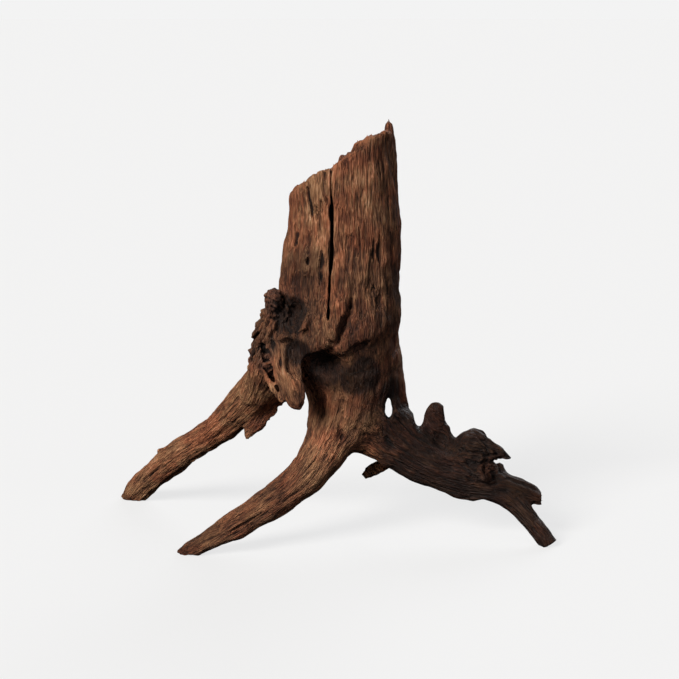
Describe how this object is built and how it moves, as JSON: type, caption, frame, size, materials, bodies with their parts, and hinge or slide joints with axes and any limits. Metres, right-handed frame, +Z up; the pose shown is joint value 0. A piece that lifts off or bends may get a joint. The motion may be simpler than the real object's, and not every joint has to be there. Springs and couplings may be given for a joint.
{
  "type": "driftwood",
  "caption": "Weathered driftwood stump with a broken hollow trunk, a long drying crack, knobs and folds, standing on its spread roots.",
  "frame": {"origin": "on the surface that it stands on, under the middle of its outline", "axes": "+Z up, +X along its longest way towards the right root, and the front is seen along +Y"},
  "size_m": [0.316, 0.1416, 0.2903],
  "materials": {
    "weathered_wood": "matte, weathered along the grain, with dark recesses"
  },
  "bodies": {
    "root": {"driftwood": "weathered_wood"}
  },
  "joints": []
}
